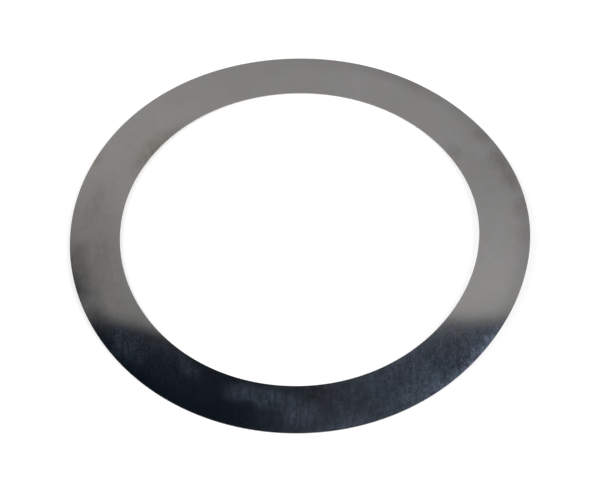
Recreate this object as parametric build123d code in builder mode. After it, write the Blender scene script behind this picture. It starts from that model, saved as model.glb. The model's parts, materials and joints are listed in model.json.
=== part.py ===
"""Shim ring that fills the gap between a 70 mm shaft and its 90 mm housing bore.

The ring is one piece of thin hard steel strip. A compound die cuts its bore and its rim
in the same stroke, so both edges have the same blanked section, facing opposite ways.
The origin is at the centre of the bore on the face that lies down, and +Z is the axis.
All lengths are in millimetres.
"""

import os

from build123d import *

# ---- The two parts that the ring sits between -------------------------------------------
shaft_diameter = 70.0       # the ring is threaded over this shaft
radial_space = 10.0         # from the shaft to the wall of the housing bore
bore_clearance = 0.125      # radial, between the shaft and the bore of the ring
rim_clearance = 0.15        # radial, between the rim of the ring and the housing

# ---- The strip, and what the die does to a cut edge -------------------------------------
strip_thickness = 0.2       # the gauge, which is the size that a shim is chosen by
roll_over_radius = 0.04     # the strip is drawn down before it shears, on the punch side
burnished_share = 0.5       # of the straight edge: sheared smooth, to the size of the die
die_clearance = 0.01        # radial: the rest of the edge breaks, and leans in by this
burr_break = 0.015          # the tumbled corner where the burr was, on the lower face

# ---- Sizes of the ring itself -----------------------------------------------------------
bore_radius = shaft_diameter / 2 + bore_clearance
rim_radius = shaft_diameter / 2 + radial_space - rim_clearance
mean_radius = (bore_radius + rim_radius) / 2

roll_over_level = strip_thickness - roll_over_radius
break_level = burr_break + (roll_over_level - burr_break) * (1 - burnished_share)
broken_radius = rim_radius - die_clearance


with BuildPart() as shim_ring:
    with BuildSketch(Plane.XZ) as section:
        with BuildLine() as section_outline:
            # The rim's half of the section, from the upper face round to the lower one.
            upper_face = Line(
                (mean_radius, strip_thickness),
                (rim_radius - roll_over_radius, strip_thickness),
            )
            roll_over = TangentArc(
                upper_face @ 1,
                (rim_radius, roll_over_level),
                tangent=upper_face % 1,
            )
            burnished_edge = Line(roll_over @ 1, (rim_radius, break_level))
            broken_edge = Line(burnished_edge @ 1, (broken_radius, burr_break))
            tumbled_corner = Line(broken_edge @ 1, (broken_radius - burr_break, 0))
            lower_face = Line(tumbled_corner @ 1, (mean_radius, 0))
            # The bore is cut by the same die, so its half is the mirror image.
            mirror(about=Plane.YZ.offset(mean_radius))
        make_face()
    revolve(axis=Axis.Z)

shim_ring.part.label = "shim_ring"

os.makedirs("parts", exist_ok=True)
export_step(shim_ring.part, "parts/shim_ring.step")

face_width = rim_radius - bore_radius
print(f"bore diameter    {2 * bore_radius:7.3f} mm")
print(f"rim diameter     {2 * rim_radius:7.3f} mm")
print(f"width of face    {face_width:7.3f} mm")
print(f"volume           {shim_ring.part.volume:7.2f} mm3")
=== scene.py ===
# %% [markdown]
# # A shim ring, dressed for its portrait
# A shim ring is a flat ring of thin hard steel. A fitter threads a few of them over a shaft
# until the gap beside a bearing is gone. The CAD model holds its sizes. This lesson gives it
# the two things that CAD leaves out: the slight spring that a thin ring keeps when nothing
# presses it flat, and the finish of cold-rolled steel.
#
# All lengths are in metres, because Blender and the CAD frame share one scale. Only the
# patterns on the steel are measured in millimetres.

# %% Open the workshop and load the CAD model
import json
import math

import bmesh
import bpy
import numpy as np
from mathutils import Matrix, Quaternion, Vector


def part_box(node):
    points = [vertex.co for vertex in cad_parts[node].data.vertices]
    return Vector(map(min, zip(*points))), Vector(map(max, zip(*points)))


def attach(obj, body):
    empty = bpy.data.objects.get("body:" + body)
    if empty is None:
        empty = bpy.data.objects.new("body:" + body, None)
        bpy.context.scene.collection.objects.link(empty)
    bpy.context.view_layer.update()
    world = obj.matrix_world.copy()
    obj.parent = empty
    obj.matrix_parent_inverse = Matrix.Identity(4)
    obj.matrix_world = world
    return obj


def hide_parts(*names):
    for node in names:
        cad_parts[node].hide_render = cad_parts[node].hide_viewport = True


MM = 0.001

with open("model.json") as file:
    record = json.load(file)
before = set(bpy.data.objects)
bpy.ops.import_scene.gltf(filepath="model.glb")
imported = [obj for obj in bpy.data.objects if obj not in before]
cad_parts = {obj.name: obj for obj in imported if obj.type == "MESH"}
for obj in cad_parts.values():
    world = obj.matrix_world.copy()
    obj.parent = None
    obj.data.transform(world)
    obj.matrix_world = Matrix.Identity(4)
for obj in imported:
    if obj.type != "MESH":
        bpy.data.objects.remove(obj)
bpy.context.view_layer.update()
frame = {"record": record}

# %% [markdown]
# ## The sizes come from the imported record
# The record names the places where the ring meets other parts. Its bore and its rim each
# carry a radius, and the gauge is the height of the CAD solid. Reading them here, and not
# typing them again, keeps the two models one object: a new bore in CAD gives a new bore here.

# %% Read the bore, the rim and the gauge
mounts = {mount["name"]: mount for mount in frame["record"]["mounts"]}
bore_radius = mounts["bore"]["dims"]["r_mm"] * MM
rim_radius = mounts["rim"]["dims"]["r_mm"] * MM

node_low, node_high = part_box("shim_ring")
gauge = node_high.z - node_low.z
face_width = rim_radius - bore_radius
mean_radius = (rim_radius + bore_radius) / 2
print(f"bore {2 * bore_radius / MM:.2f}  rim {2 * rim_radius / MM:.2f}  gauge {gauge / MM:.2f} mm")

# %% [markdown]
# ## Wires that can be added up
# A node tree is arithmetic drawn as boxes. Drawn box by box it is long to write, so one
# small class wraps an output socket and lets Python's own + - * / ** add the Math nodes.
# The reflected forms, such as __rsub__, are for a number on the left, as in 1 - mask.
#
# Every node comes from one method, add. It takes the node's type, then its settings, and
# then a value or a wire for each socket. The settings go first, because some of them change
# which sockets a node has.

# %% A wire to do sums with
class Wire:
    """One output of a node, which can be used in a sum like a number."""

    def __init__(self, bench, socket):
        self.bench = bench
        self.socket = socket

    def __getitem__(self, name):
        """Another output of the same node."""
        return Wire(self.bench, self.socket.node.outputs[name])

    def __add__(self, other):
        return self.bench.maths("ADD", self, other)

    def __radd__(self, other):
        return self.bench.maths("ADD", other, self)

    def __sub__(self, other):
        return self.bench.maths("SUBTRACT", self, other)

    def __rsub__(self, other):
        return self.bench.maths("SUBTRACT", other, self)

    def __mul__(self, other):
        return self.bench.maths("MULTIPLY", self, other)

    def __rmul__(self, other):
        return self.bench.maths("MULTIPLY", other, self)

    def __truediv__(self, other):
        return self.bench.maths("DIVIDE", self, other)

    def __pow__(self, other):
        return self.bench.maths("POWER", self, other)


# %% A bench to build node trees on
class Bench:
    """A node tree to build on."""

    def __init__(self, tree):
        self.tree = tree

    def add(self, kind, settings=None, sockets=None):
        """Adds a node: settings first, then its sockets by identifier. Gives its first output."""
        node = self.tree.nodes.new(kind)
        for name, value in (settings or {}).items():
            if name == "stops":
                self.set_stops(node.color_ramp, value)
            else:
                setattr(node, name, value)
        inputs = {socket.identifier: socket for socket in node.inputs}
        for name, value in (sockets or {}).items():
            if isinstance(value, Wire):
                self.tree.links.new(value.socket, inputs[name])
            else:
                inputs[name].default_value = value
        shown = [socket for socket in node.outputs if socket.enabled]
        return Wire(self, shown[0]) if shown else None

    def set_stops(self, ramp, stops):
        """Gives a colour ramp its stops, each a position and a colour."""
        while len(ramp.elements) > 1:
            ramp.elements.remove(ramp.elements[-1])
        ramp.elements[0].position = stops[0][0]
        ramp.elements[0].color = (*stops[0][1], 1)
        for position, colour in stops[1:]:
            ramp.elements.new(position).color = (*colour, 1)

    def maths(self, operation, *values):
        """A Math node on one value or two."""
        sockets = dict(zip(("Value", "Value_001"), values))
        return self.add("ShaderNodeMath", {"operation": operation}, sockets)

    def axes(self, vector):
        """The X, Y and Z of a vector, each as a wire."""
        parts = self.add("ShaderNodeSeparateXYZ", {}, {"Vector": vector})
        return parts["X"], parts["Y"], parts["Z"]


# %% [markdown]
# ## The steel: one sharp reflection and one hazy one
# Cold-rolled strip is bright, but it isn't a mirror. Most of the light leaves it in a sharp
# reflection. A small share is scattered by the fine grain that the rolls press in, by
# rubbing and by dried oil, and that share shows wherever the steel reflects something dark.
#
# One Principled shader with a middling roughness would blur everything evenly. Two of them
# in a Mix Shader come closer: both are metal, one is nearly sharp, one is rough, and a haze
# map between them says how much of the light is scattered at each place.

# %% Start the steel's node tree
steel = bpy.data.materials.new("cold_rolled_steel")
steel.use_nodes = True
steel.node_tree.nodes.clear()
finish = Bench(steel.node_tree)

coordinates = finish.add("ShaderNodeTexCoord")["Object"]
place = finish.add(
    "ShaderNodeVectorMath",
    {"operation": "SCALE"},
    {"Vector": coordinates, "Scale": 1 / MM},
)
across, along, _ = finish.axes(place)
from_axis_mm = (across * across + along * along) ** 0.5
print(f"patterns are measured in mm, from {bore_radius / MM:.1f} to {rim_radius / MM:.1f} mm out")


# %% Noise and ramps
def noise(vector, size, detail=2.0, roughness=0.5, distortion=0.0):
    """Cloudy noise from 0 to 1, with lumps of about this size in millimetres."""
    sockets = {"Vector": vector, "Scale": 1 / size, "Detail": detail}
    sockets.update({"Roughness": roughness, "Distortion": distortion})
    return finish.add("ShaderNodeTexNoise", {}, sockets)["Fac"]


def ramp(value, low, high, to_low=0.0, to_high=1.0):
    """Takes a value from one range to another, easing in and out."""
    sockets = {"Value": value, "From Min": low, "From Max": high}
    sockets.update({"To Min": to_low, "To Max": to_high})
    return finish.add("ShaderNodeMapRange", {"interpolation_type": "SMOOTHSTEP"}, sockets)


# %% [markdown]
# ## Grain that follows the rolls
# The strip passed between rolls before the ring was cut from it, so the grain is straight
# across the whole ring. It doesn't turn with the rim, as a lathe's would. A Mapping node
# squeezes the pattern across the strip and leaves it long along it, here along Y.
#
# Clouds are the opposite, round and soft. They keep the finish from looking like one even
# paint. Wisps lie between the two, and later break up the edges of the marks.

# %% Rolling grain, wisps and clouds
LONG_GRAIN = (1.0, 0.18, 1.0)
SHORT_GRAIN = (1.0, 0.5, 1.0)
stretched = finish.add("ShaderNodeMapping", {}, {"Vector": place, "Scale": LONG_GRAIN})
brushed = finish.add("ShaderNodeMapping", {}, {"Vector": place, "Scale": SHORT_GRAIN})

streaks = ramp(noise(stretched, 0.55), 0.35, 0.65)
hairlines = noise(stretched, 0.12)
speckle = ramp(noise(brushed, 0.45, roughness=0.6), 0.40, 0.66)
wisps = ramp(noise(brushed, 1.1, detail=4.0, roughness=0.7, distortion=0.6), 0.3, 0.7)
clouds = ramp(noise(place, 9.0, detail=4.0, roughness=0.6, distortion=0.5), 0.3, 0.7)
tints = ramp(noise(place, 5.0, detail=3.0), 0.35, 0.65)
print(f"{len(steel.node_tree.nodes)} nodes for the grain and the clouds")

# %% [markdown]
# ## Marks of handling and painted shade, placed one by one
# Fingers, packing and dried oil leave soft dull marks, most of them near the rim, where the
# ring is held, and painted shade is laid on in the same way. Each is an oval with a soft edge at
# its own angle and radius. A slow noise is added to the coordinates first, so that no oval looks
# drawn with compasses.

# %% Coordinates that wander
DRIFT = 4.0  # mm: no mark is pushed further than half of this along an axis
slow = {"Vector": place, "Scale": 0.2, "Detail": 3.0}
drift = finish.add("ShaderNodeTexNoise", {}, slow)["Color"]
drift = finish.add(
    "ShaderNodeVectorMath",
    {"operation": "MULTIPLY_ADD"},
    {"Vector": drift, "Vector_001": (DRIFT,) * 3, "Vector_002": (-DRIFT / 2,) * 3},
)
wandering = finish.add(
    "ShaderNodeVectorMath",
    {"operation": "ADD"},
    {"Vector": place, "Vector_001": drift},
)
print(f"the marks wander by up to {DRIFT / 2} mm")

# %% A soft oval mark
THROUGH = 1000.0  # mm: an oval reaches through the strip, so it marks both faces
FADED = 1.25  # half lengths or half widths out from its centre, a mark has faded away


def soft_mark(angle, radius, length, width):
    """An oval mask with its long side along the rim. The angle is in degrees, the rest in mm."""
    turn = math.radians(angle)
    placing = {
        "Location": (radius * math.cos(turn), radius * math.sin(turn), 0),
        "Rotation": (0, 0, turn),
        "Scale": (width / 2, length / 2, THROUGH),
    }
    local = finish.add(
        "ShaderNodeMapping",
        {"vector_type": "TEXTURE"},
        {"Vector": wandering, **placing},
    )
    distance = finish.add("ShaderNodeVectorMath", {"operation": "LENGTH"}, {"Vector": local})
    return ramp(distance["Value"], FADED, 0.0)


def all_marks(marks):
    """The marks of a list laid over each other, each at its own strength."""
    return sum(soft_mark(*oval) * strength for *oval, strength in marks)


# %% [markdown]
# Three lists hold the marks. Dried oil is brown and dulls the sharp reflection. The grey list
# is painted shade: it darkens the colour of the sharp reflection. Patches of haze scatter more
# light, so they show as pale clouds where the steel reflects the dark. A negative strength is a
# spot that is cleaner than the rest.

# %% Brown marks, painted shade and patches of haze
BROWN_MARKS = (
    # angle, radius, length, width, strength
    (-7, 44.2, 5.0, 3.6, 0.12),
    (2, 44.0, 7.0, 4.2, 0.18),
    (13, 44.0, 9.0, 4.4, 0.21),
    (19.5, 43.2, 6.5, 6.0, 0.24),
    (30, 44.0, 6.0, 4.4, 0.18),
    (28.5, 36.0, 6.0, 3.6, 0.18),
    (41, 44.6, 5.0, 2.8, 0.12),
    (54, 43.8, 7.0, 5.0, 0.10),
    (63, 44.4, 16.0, 4.5, 0.07),
    (89, 43.6, 26.0, 8.0, 0.04),
    (18, 40.0, 22.0, 14.0, 0.07),
    (-29, 44.4, 8.0, 5.0, 0.12),
    (-14, 38.5, 36.0, 18.0, -0.09),
    (154, 40.5, 30.0, 16.0, 0.07),
    (126, 42.5, 9.0, 6.0, 0.05),
    (137, 34.8, 13.0, 7.0, 0.28),
    (149, 34.8, 12.0, 7.4, 0.26),
    (156, 44.6, 5.0, 2.8, 0.12),
    (169, 41.2, 12.0, 4.0, 0.08),
    (186, 43.2, 8.0, 4.0, 0.16),
    (187, 38.8, 7.0, 3.6, 0.08),
    (178, 41.0, 26.0, 18.0, 0.085),
)
# painted shade: dark patches painted into the colour of the sharp reflection
PAINTED_SHADE_PATCHES = (
    # angle, radius, length, width, strength
    (197, 46.0, 58.0, 46.0, 0.40),
    (195.5, 46.2, 20.5, 11.0, 0.44),
    (196, 41.5, 20.0, 13.0, 0.08),
    (207, 42.8, 7.5, 6.5, 0.34),
    (211, 37.0, 14.0, 9.0, 0.11),
    (319.5, 36.0, 7.0, 6.5, 0.26),
)
HAZE_PATCHES = (
    # angle, radius, length, width, strength
    (216, 41.5, 14.0, 8.0, 0.055),
    (224, 36.5, 20.0, 6.0, 0.028),
    (228, 39.0, 28.0, 9.0, 0.014),
    (236, 37.6, 8.0, 3.6, 0.030),
    (255, 38.0, 13.0, 4.6, 0.082),
    (263.5, 38.2, 8.0, 4.2, 0.022),
    (268.5, 40.0, 7.5, 8.0, 0.068),
    (272.5, 37.0, 13.0, 7.0, -0.064),
    (280, 45.0, 26.0, 3.0, 0.025),
    (273, 45.2, 10.0, 3.0, 0.034),
    (280, 39.0, 11.0, 10.0, -0.034),
    (286, 42.0, 9.0, 8.0, -0.016),
    (200, 45.0, 22.0, 8.0, 0.030),
    (299, 44.2, 18.0, 7.0, 0.105),
    (308, 45.2, 12.0, 4.6, 0.090),
    (307, 38.5, 12.0, 7.0, 0.022),
    (317, 45.2, 22.0, 4.8, 0.180),
    (316.5, 45.6, 14.0, 4.6, 0.130),
    (308, 35.6, 14.0, 2.6, 0.030),
)
dullness = all_marks(BROWN_MARKS)
painted_shade = all_marks(PAINTED_SHADE_PATCHES)
patches = all_marks(HAZE_PATCHES)
print(f"{len(BROWN_MARKS)} brown, {len(PAINTED_SHADE_PATCHES)} grey, {len(HAZE_PATCHES)} hazy")

# %% [markdown]
# ## From masks to a finish
# The masks now feed the few inputs that may change over a surface. The haze map comes first:
# it is the Mix Shader's factor. One side of the ring was rubbed more than the other, so the
# haze rises from left to right, and grain and speckle break it up.

# %% The haze map
CLEAN_HAZE = 0.009  # the share of light that clean steel scatters
RUBBED_HAZE = 0.079  # and what rubbing adds to it
CLOUDY_HAZE = 0.055  # more of it in the clouds

rubbed_side = ramp(across, -16.0, 14.0)
patchy = patches * (0.5 + wisps)
grainy = 0.6 + streaks * 0.35 + speckle * 0.55
haze = (CLEAN_HAZE + rubbed_side * (RUBBED_HAZE + clouds * CLOUDY_HAZE) + patchy) * grainy
print(f"haze before the grain: {CLEAN_HAZE} clean, {CLEAN_HAZE + RUBBED_HAZE:.3f} or more rubbed")

# %% [markdown]
# The sharp reflection has a colour, which tints whatever it shows. It is built in layers:
# the bare metal, then the brown marks mixed over it, then a film of oil too thin to name a
# colour, and last one number for everything that only darkens: mottle, painted shade and a
# darker rim.

# %% One number for everything that darkens
# the rim is darker on the right and back, by up to 14 percent
darker_rim = ramp(from_axis_mm, 41.0, 44.5) * ramp(along, -30.0, -12.0) * ramp(across, -6.0, 24.0)
mottle = 0.965 + clouds * 0.04 + speckle * 0.03
# painted shade: the grey list darkens the colour of the sharp reflection here
brightness = mottle * (1 - painted_shade * (0.92 + wisps * 0.16)) * (1 - darker_rim * 0.14)
print(f"{len(steel.node_tree.nodes)} nodes up to here")


# %% The colour of the sharp reflection
def blend_colours(factor, first, second, clamp=True):
    """The first colour where the factor is 0, and the second where it is 1."""
    return finish.add(
        "ShaderNodeMix",
        {"data_type": "RGBA", "clamp_factor": clamp},
        {"Factor_Float": factor, "A_Color": first, "B_Color": second},
    )


BARE_STEEL = (0.571, 0.562, 0.548, 1)
RUBBED_STEEL = (0.587, 0.564, 0.524, 1)
DRIED_OIL = (0.13, 0.07, 0.0, 1)
COOL_FILM = (0.988, 1.0, 1.008, 1)
WARM_FILM = (1.016, 0.997, 1.002, 1)

bare_colour = blend_colours(rubbed_side, BARE_STEEL, RUBBED_STEEL)
oiliness = dullness * (0.75 + wisps * 0.75)
marked_colour = blend_colours(oiliness, bare_colour, DRIED_OIL, clamp=False)
oil_film = blend_colours(tints, COOL_FILM, WARM_FILM)
tinted_colour = finish.add(
    "ShaderNodeVectorMath",
    {"operation": "MULTIPLY"},
    {"Vector": marked_colour, "Vector_001": oil_film},
)
sharp_colour = finish.add(
    "ShaderNodeVectorMath",
    {"operation": "SCALE"},
    {"Vector": tinted_colour, "Scale": brightness},
)
print("bare steel:", BARE_STEEL[:3], " rubbed steel:", RUBBED_STEEL[:3])

# %% [markdown]
# Now the two shaders. Where the ring was rubbed, its rim took more of it than its bore, so
# the sharp reflection is softest at the rim on that side. Bump is kept tiny, because on
# steel this bright a slope of a tenth of a degree is visible. The hazy shader is bluer than
# the sharp one, as scattered light is.

# %% Roughness and bump
SHARP_ROUGHNESS = 0.038
HAZY_ROUGHNESS = 0.55
RUBBED_BORE, RUBBED_RIM = 0.034, 0.057  # what rubbing adds to the sharp roughness
BUMP_HEIGHT = 0.0001 * MM

rubbing = rubbed_side * ramp(from_axis_mm, 34.0, 46.0, RUBBED_BORE, RUBBED_RIM)
sharp_roughness = SHARP_ROUGHNESS + rubbing + hairlines * 0.01
relief = finish.add(
    "ShaderNodeBump",
    {},
    {"Strength": 1.0, "Distance": BUMP_HEIGHT, "Height": streaks * 0.5 + hairlines},
)
print(f"roughness from {SHARP_ROUGHNESS} up, relief {BUMP_HEIGHT / MM * 1000:.1f} micrometres")

# %% The two shaders
COOL_HAZE = (0.405, 0.523, 0.67, 1)
VIOLET_HAZE = (0.445, 0.51, 0.69, 1)

sharp = finish.add(
    "ShaderNodeBsdfPrincipled",
    {},
    {
        "Base Color": sharp_colour,
        "Metallic": 1.0,
        "Roughness": sharp_roughness,
        "Normal": relief,
    },
)
hazy = finish.add(
    "ShaderNodeBsdfPrincipled",
    {},
    {
        "Base Color": blend_colours(tints, COOL_HAZE, VIOLET_HAZE),
        "Metallic": 1.0,
        "Roughness": HAZY_ROUGHNESS,
        "Normal": relief,
    },
)
skin = finish.add(
    "ShaderNodeMixShader",
    {},
    {"Fac": haze, "Shader": sharp, "Shader_001": hazy},
)
finish.add("ShaderNodeOutputMaterial", {}, {"Surface": skin})
print(f"{len(steel.node_tree.nodes)} nodes in the steel")

# %% [markdown]
# ## The spring left in a thin ring
# Rolled strip keeps a little curve, and cutting a ring from it lets its inner stresses out.
# So a loose ring isn't flat: it bows like a roof tile, and one end curls up more than the
# other. One finger presses it flat again.
#
# A formula says this better than a sculpting brush. The bow is part of a cylinder. The curl
# is a sum of waves with 3, 4 and 5 lobes round the ring, whose crests meet on one axis: they
# add up at that end and nearly cancel elsewhere.

# %% How this ring is sprung
LOBES = {3: 0.348 * MM, 4: 0.187 * MM, 5: 0.145 * MM}
spring = {
    "Spring Axis": math.radians(-16.6),
    "Bow Radius": 485.0 * MM,
}
for count, height_of_lobes in LOBES.items():
    spring[f"{count} Lobes"] = height_of_lobes
bow_rise = rim_radius**2 / (2 * spring["Bow Radius"])
print(f"rise of the bow at the rim: {bow_rise / MM:.2f} mm")

# %% [markdown]
# ## The edge that the die leaves
# A punch draws the strip down before it shears, so the upper corner is round. Below it is a
# smooth burnished land, and then the metal breaks and leans in. Tumbling takes the burr off
# the lower corner. The bore and the rim are cut in one stroke and have the same edge.

# %% The edge in numbers
edge = {
    "Roll Over": 0.04 * MM,
    "Lean": 0.01 * MM,
    "Tumbled": 0.015 * MM,
}
for name, value in edge.items():
    print(f"{name}: {value / MM:.3f} mm")

# %% [markdown]
# ## Geometry Nodes draw the ring
# The shape follows a rule, a section taken round a circle, so a node tree makes it. The tree:
#
# 1. draws the section as a rectangle, as wide as the face and as high as the gauge, and
#    divides its long sides finely and its short ones in two;
# 2. gathers the points towards the edges, where shading needs them, with a sine, and leans
#    the lower corners in;
# 3. rounds all four corners with Fillet Curve;
# 4. sweeps the section round the mean circle with Curve to Mesh;
# 5. lifts every point by the formula of the spring;
# 6. ends in Realize Instances and Set Material, so that the result is plain mesh.

# %% Start the ring's node tree
ring_tree = bpy.data.node_groups.new("ring_from_strip", "GeometryNodeTree")
ring_tree.is_modifier = True
form = Bench(ring_tree)

ring_inputs = {
    "Mean Radius": mean_radius,
    "Face Width": face_width,
    "Gauge": gauge,
    **edge,
    **spring,
}
for name in ring_inputs:
    ring_tree.interface.new_socket(name=name, in_out="INPUT", socket_type="NodeSocketFloat")
ring_tree.interface.new_socket(name="Geometry", in_out="OUTPUT", socket_type="NodeSocketGeometry")
given = form.add("NodeGroupInput")
print("inputs:", ", ".join(ring_inputs))


# %% Move points, by a position for each of them
def moved(geometry, x, y, z):
    """The geometry with every point at its own new X, Y and Z."""
    position = form.add("ShaderNodeCombineXYZ", {}, {"X": x, "Y": y, "Z": z})
    return form.add(
        "GeometryNodeSetPosition",
        {},
        {"Geometry": geometry, "Position": position},
    )


# %% Step 1: a rectangle with its sides divided
ACROSS_FACE = 20
half_width = given["Face Width"] * 0.5
half_gauge = given["Gauge"] * 0.5
quarter_gauge = 0.25 * gauge

section = form.add(
    "GeometryNodeCurvePrimitiveQuadrilateral",
    {"mode": "RECTANGLE"},
    {"Width": given["Face Width"], "Height": given["Gauge"]},
)
is_short_side = form.maths("MODULO", form.add("GeometryNodeInputIndex"), 2.0)
cuts = ACROSS_FACE - is_short_side * (ACROSS_FACE - 1)
section = form.add("GeometryNodeSubdivideCurve", {}, {"Curve": section, "Cuts": cuts})
print(f"{ACROSS_FACE} cuts across each face")

# %% Step 2: gather the points, and lean the lower corners in
AT_THE_END = 0.999  # of the half width: a wall's points, give or take a rounding
point_x, point_y, _ = form.axes(form.add("GeometryNodeInputPosition"))
share = point_x / half_width
gathered_x = form.maths("SINE", share * (math.pi / 2)) * half_width
is_wall = form.maths("GREATER_THAN", form.maths("ABSOLUTE", share), AT_THE_END)
is_low = form.maths("LESS_THAN", point_y, -quarter_gauge)
leaned_x = gathered_x - form.maths("SIGN", share) * given["Lean"] * is_wall * is_low
section = moved(section, leaned_x, point_y, 0.0)
print(f"the walls lean in below {-quarter_gauge / MM:.3f} mm from the middle")

# %% Step 3: round the corners
ARC_POINTS = 4
corner_x, corner_y, _ = form.axes(form.add("GeometryNodeInputPosition"))
inside_the_lean = half_width - given["Lean"] * 1.5
at_side = form.maths("GREATER_THAN", form.maths("ABSOLUTE", corner_x), inside_the_lean)
at_top = form.maths("GREATER_THAN", corner_y, quarter_gauge)
at_bottom = form.maths("LESS_THAN", corner_y, -quarter_gauge)
corner_radius = (given["Roll Over"] * at_top + given["Tumbled"] * at_bottom) * at_side
section = form.add(
    "GeometryNodeFilletCurve",
    {"mode": "POLY"},
    {"Curve": section, "Count": ARC_POINTS, "Radius": corner_radius, "Limit Radius": True},
)
print(f"{len(ring_tree.nodes)} nodes for the section")

# %% Step 4: round the mean circle
ROUND_THE_RING = 720
circle = form.add(
    "GeometryNodeCurvePrimitiveCircle",
    {"mode": "RADIUS"},
    {"Resolution": ROUND_THE_RING, "Radius": given["Mean Radius"]},
)
ring_mesh = form.add("GeometryNodeCurveToMesh", {}, {"Curve": circle, "Profile Curve": section})
print(f"a section every {360 / ROUND_THE_RING} degrees")

# %% Step 5: the spring
x, y, z = form.axes(form.add("GeometryNodeInputPosition"))
radius = (x * x + y * y) ** 0.5
angle = form.maths("ARCTAN2", y, x)
outward = radius / (given["Mean Radius"] + half_width)

from_crests = angle - given["Spring Axis"]
along_axis = radius * form.maths("COSINE", from_crests)
rise = along_axis * along_axis / (given["Bow Radius"] * 2)
for count in LOBES:
    wave = form.maths("COSINE", from_crests * count) * given[f"{count} Lobes"]
    rise = rise + wave * outward**count
ring_mesh = moved(ring_mesh, x, y, z + half_gauge + rise)
print("a bow, and waves with", ", ".join(str(count) for count in LOBES), "lobes")

# %% Step 6: plain mesh, smooth, in steel
ring_mesh = form.add("GeometryNodeSetShadeSmooth", {}, {"Geometry": ring_mesh})
ring_mesh = form.add("GeometryNodeRealizeInstances", {}, {"Geometry": ring_mesh})
ring_mesh = form.add("GeometryNodeSetMaterial", {}, {"Geometry": ring_mesh, "Material": steel})
outlet = ring_tree.interface.items_tree["Geometry"].identifier
form.add("NodeGroupOutput", {}, {outlet: ring_mesh})
print(f"{len(ring_tree.nodes)} nodes in the ring")

# %% [markdown]
# ## Run the tree once and keep the mesh
# A modifier takes its values by the identifier of each socket, and they are set before
# Blender first works the object out. new_from_object then copies the result, and the object
# that carried the modifier goes.

# %% Make the ring's mesh
carrier = bpy.data.objects.new("ring_carrier", bpy.data.meshes.new("ring_carrier"))
bpy.context.scene.collection.objects.link(carrier)
modifier = carrier.modifiers.new("ring_from_strip", "NODES")
modifier.node_group = ring_tree
for item in ring_tree.interface.items_tree:
    if item.in_out == "INPUT":
        modifier[item.identifier] = ring_inputs[item.name]

depsgraph = bpy.context.evaluated_depsgraph_get()
mesh = bpy.data.meshes.new_from_object(carrier.evaluated_get(depsgraph))
mesh.name = "sprung_ring"
bpy.data.objects.remove(carrier)
print(f"{len(mesh.vertices)} points, {len(mesh.polygons)} faces")

# %% [markdown]
# ## Let the ring settle
# A loose ring rests on the three low points round its centre of mass, which is where the
# centre lies as low as it can. For each slope of a floor that touches the ring from below,
# the height at which that floor crosses the axis is easy to find, and the rest pose is the
# slope where it is highest. The height rises to one peak, so a search by thirds finds it,
# first along Y and, for each try there, along X.

# %% Find how the ring rests
STEEPEST = 0.08  # no rest pose slopes more than this
TRIES = 28

points = np.empty(len(mesh.vertices) * 3, np.float32)
mesh.vertices.foreach_get("co", points)
points = points.reshape(-1, 3).astype(float)


def floor_height(slope_x, slope_y):
    """Where a floor with these slopes crosses the ring's axis as it touches from below."""
    return (points[:, 2] - slope_x * points[:, 0] - slope_y * points[:, 1]).min()


def peak(height):
    """The slope at which a height that rises to one peak is highest."""
    low, high = -STEEPEST, STEEPEST
    for _ in range(TRIES):
        third = (high - low) / 3
        if height(low + third) < height(high - third):
            low += third
        else:
            high -= third
    return (low + high) / 2


def best_slope_x(slope_y):
    """The slope along X at which the floor is highest, for one slope along Y."""
    return peak(lambda slope_x: floor_height(slope_x, slope_y))


rest_y = peak(lambda slope_y: floor_height(best_slope_x(slope_y), slope_y))
rest_x = best_slope_x(rest_y)
print(f"settles by {math.degrees(rest_x):.2f} and {math.degrees(rest_y):.2f} degrees")

# %% Lay it on the floor
points[:, 2] -= rest_x * points[:, 0] + rest_y * points[:, 1] + floor_height(rest_x, rest_y)
mesh.vertices.foreach_set("co", points.astype(np.float32).ravel())
mesh.update()
print(f"stands {points[:, 2].max() / MM:.2f} mm high")

# %% [markdown]
# ## Check the skin
# Light and the export both need a closed skin whose faces point outwards. The signed volume
# of a closed mesh is positive only if they do, and it should also match the CAD solid's.

# %% Turn the faces outwards
check = bmesh.new()
check.from_mesh(mesh)
if check.calc_volume(signed=True) < 0:
    bmesh.ops.reverse_faces(check, faces=check.faces)
open_edges = sum(1 for mesh_edge in check.edges if len(mesh_edge.link_faces) != 2)
print(f"volume {check.calc_volume(signed=True) / MM**3:.1f} mm3, {open_edges} open edges")
check.to_mesh(mesh)
check.free()

# %% Join the ring to the frame
ring = bpy.data.objects.new("sprung_shim_ring", mesh)
bpy.context.scene.collection.objects.link(ring)
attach(ring, "root")
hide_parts("shim_ring")
print(f"{ring.name} stands for the flat ring")

# %% [markdown]
# ## A pale floor that keeps the shadow
# The floor is matt and pale. By itself it would come out light grey, so for rays from the
# camera, and for the reflections in the steel, a little of its own light lifts it to white.
# It is added to the shading, not put in its place, so the ring's shadow stays. Far away,
# where the lamps don't reach, the floor gets more of it, and so meets the white wall unseen.

# %% The paper that the floor is made of
PALE = (0.8, 0.8, 0.8, 1)
NEAR, FAR = 0.3, 1.5  # metres from the ring: between them the floor's own light grows
NEAR_GLOW, FAR_GLOW = 0.40, 1.0

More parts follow.
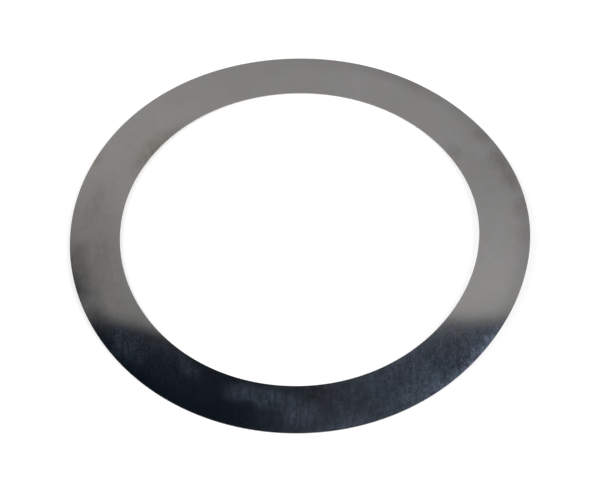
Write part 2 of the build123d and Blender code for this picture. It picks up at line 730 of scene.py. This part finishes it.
paper = bpy.data.materials.new("pale_paper")
paper.use_nodes = True
paper.node_tree.nodes.clear()
paper_bench = Bench(paper.node_tree)
rays = paper_bench.add("ShaderNodeLightPath")
seen = rays["Is Camera Ray"] + rays["Is Glossy Ray"] + rays["Is Transmission Ray"]
matt = paper_bench.add("ShaderNodeBsdfDiffuse", {}, {"Color": PALE})
spot = paper_bench.add("ShaderNodeTexCoord")["Object"]
distance = paper_bench.add("ShaderNodeVectorMath", {"operation": "LENGTH"}, {"Vector": spot})
glow = paper_bench.add(
    "ShaderNodeMapRange",
    {"interpolation_type": "SMOOTHSTEP"},
    {
        "Value": distance["Value"],
        "From Min": NEAR,
        "From Max": FAR,
        "To Min": NEAR_GLOW,
        "To Max": FAR_GLOW,
    },
)
own_light = paper_bench.add("ShaderNodeEmission", {}, {"Color": glow, "Strength": seen})
sheet_skin = paper_bench.add(
    "ShaderNodeAddShader",
    {},
    {"Shader": matt, "Shader_001": own_light},
)
paper_bench.add("ShaderNodeOutputMaterial", {}, {"Surface": sheet_skin})
print(f"the paper gives back {PALE[0]:.0%} of the light")

# %% The floor
HALF_SIDE = 8.0
corners = [(-HALF_SIDE, -HALF_SIDE, 0), (HALF_SIDE, -HALF_SIDE, 0)]
corners += [(HALF_SIDE, HALF_SIDE, 0), (-HALF_SIDE, HALF_SIDE, 0)]
floor_mesh = bpy.data.meshes.new("floor")
floor_mesh.from_pydata(corners, [], [(0, 1, 2, 3)])
floor_mesh.materials.append(paper)
floor = bpy.data.objects.new("floor", floor_mesh)
bpy.context.scene.collection.objects.link(floor)
print(f"floor {2 * HALF_SIDE:.0f} m square")

# %% [markdown]
# ## The room that the steel reflects
# Bright metal has hardly a colour of its own: it shows the room. So the world is drawn as a
# plain studio. A white wall goes all round. Above it the light falls off to a grey ceiling,
# which ends in a sharp line where the dark upper part of the room begins. A soft panel hangs
# overhead.
#
# The colours go by the height above the horizon. A real room is longer than it is wide, and
# stands at a slant to the table, so a Mapping node turns the view direction and halves one
# side of it before its height is taken. As a texture mapping it works backwards: a scale of
# 2 divides by 2.

# %% How high a direction points, in a long room at a slant
ROOM_TURN = math.radians(-18)
ROOM_STRETCH = (2, 1, 1)

world = bpy.data.worlds.new("studio")
bpy.context.scene.world = world
world.use_nodes = True
world.node_tree.nodes.clear()
studio = Bench(world.node_tree)
direction = studio.add(
    "ShaderNodeMapping",
    {"vector_type": "TEXTURE"},
    {
        "Vector": studio.add("ShaderNodeTexCoord")["Generated"],
        "Rotation": (0, 0, ROOM_TURN),
        "Scale": ROOM_STRETCH,
    },
)
direction = studio.add(
    "ShaderNodeVectorMath",
    {"operation": "NORMALIZE"},
    {"Vector": direction},
)
_, _, height = studio.axes(direction)
elevation = studio.maths("ARCSINE", height) * (2 / math.pi)
print(f"the room is turned by {math.degrees(ROOM_TURN):.0f} degrees")


# %% The colours of the room, from the horizon up
def at(degrees):
    """The place on the ramp of a height above the horizon."""
    return degrees / 90


WHITE_WALL = (1.0, 1.0, 1.0)
DARK = (0.004, 0.008, 0.015)
PANEL = (0.6, 0.6, 0.6)
stops = [
    (at(0), WHITE_WALL),
    (at(28), WHITE_WALL),
    (at(45.1), (0.36, 0.357, 0.352)),  # the lower end of the ceiling
    (at(51.75), (0.382, 0.378, 0.371)),
    (at(54.05), (0.415, 0.410, 0.402)),
    (at(60.0), (0.460, 0.455, 0.447)),  # its upper end, a sharp line
    (at(60.4), DARK),
    (at(74), DARK),
    (at(80), PANEL),
    (at(90), PANEL),
]
room = studio.add("ShaderNodeValToRGB", {"stops": stops}, {"Fac": elevation})
light = studio.add("ShaderNodeBackground", {}, {"Color": room, "Strength": 1.0})
studio.add("ShaderNodeOutputWorld", {}, {"Surface": light})
print(f"{len(stops)} stops from the horizon to the zenith")

# %% [markdown]
# ## Two soft lamps
# The world alone brings a pale card to a bit less than half of its written brightness. Two
# large area lamps on the camera's side bring it to about 95 percent, which is a plain level:
# a colour comes out about as written.

# %% The lamps
LAMP_ELEVATION = math.radians(45)
LAMP_DISTANCE = 1.0
LAMP_SIDE = 0.7
LAMP_WATTS = 4.1


def soft_lamp(name, azimuth):
    """A square area lamp that looks at the ring, from an angle in degrees off the front."""
    turn = math.radians(azimuth)
    level = math.cos(LAMP_ELEVATION)
    away = Vector((
        math.sin(turn) * level,
        -math.cos(turn) * level,
        math.sin(LAMP_ELEVATION),
    ))
    data = bpy.data.lights.new(name, "AREA")
    data.shape = "SQUARE"
    data.size = LAMP_SIDE
    data.energy = LAMP_WATTS
    lamp = bpy.data.objects.new(name, data)
    lamp.location = away * LAMP_DISTANCE
    lamp.rotation_mode = "QUATERNION"
    lamp.rotation_quaternion = away.to_track_quat("Z", "Y")
    bpy.context.scene.collection.objects.link(lamp)
    print(f"{name}: {azimuth} degrees off the front, {data.energy:.1f} W")


soft_lamp("left_lamp", -60)
soft_lamp("right_lamp", 60)

# %% [markdown]
# ## The camera
# The camera looks down at the ring from the front, with a portrait lens. It stands in the
# middle plane, leans by two degrees as a hand-held one does, and looks at a point a little
# in front of the ring's centre.

# %% Place the camera
CAMERA_ELEVATION = math.radians(54.54)
CAMERA_DISTANCE = 279.6 * MM
LOOKS_AT = Vector((0.06 * MM, -4.03 * MM, gauge))
ROLL = math.radians(-2.06)
LENS = 85.3  # Blender takes the lens and the sensor in millimetres
SENSOR_WIDTH = 36.0

camera_data = bpy.data.cameras.new("camera")
camera_data.sensor_width = SENSOR_WIDTH
camera_data.lens = LENS
camera_data.clip_start = 10 * MM
camera = bpy.data.objects.new("camera", camera_data)
back_off = Vector((0, -math.cos(CAMERA_ELEVATION), math.sin(CAMERA_ELEVATION)))
camera.location = Vector((0, 0, gauge)) + CAMERA_DISTANCE * back_off
camera.rotation_mode = "QUATERNION"
aim = (LOOKS_AT - camera.location).to_track_quat("-Z", "Y")
camera.rotation_quaternion = aim @ Quaternion((0, 0, 1), ROLL)
bpy.context.scene.collection.objects.link(camera)
bpy.context.scene.camera = camera
bpy.context.scene.view_settings.view_transform = "Standard"
print(f"camera {CAMERA_DISTANCE / MM:.0f} mm away, lens {LENS} mm")
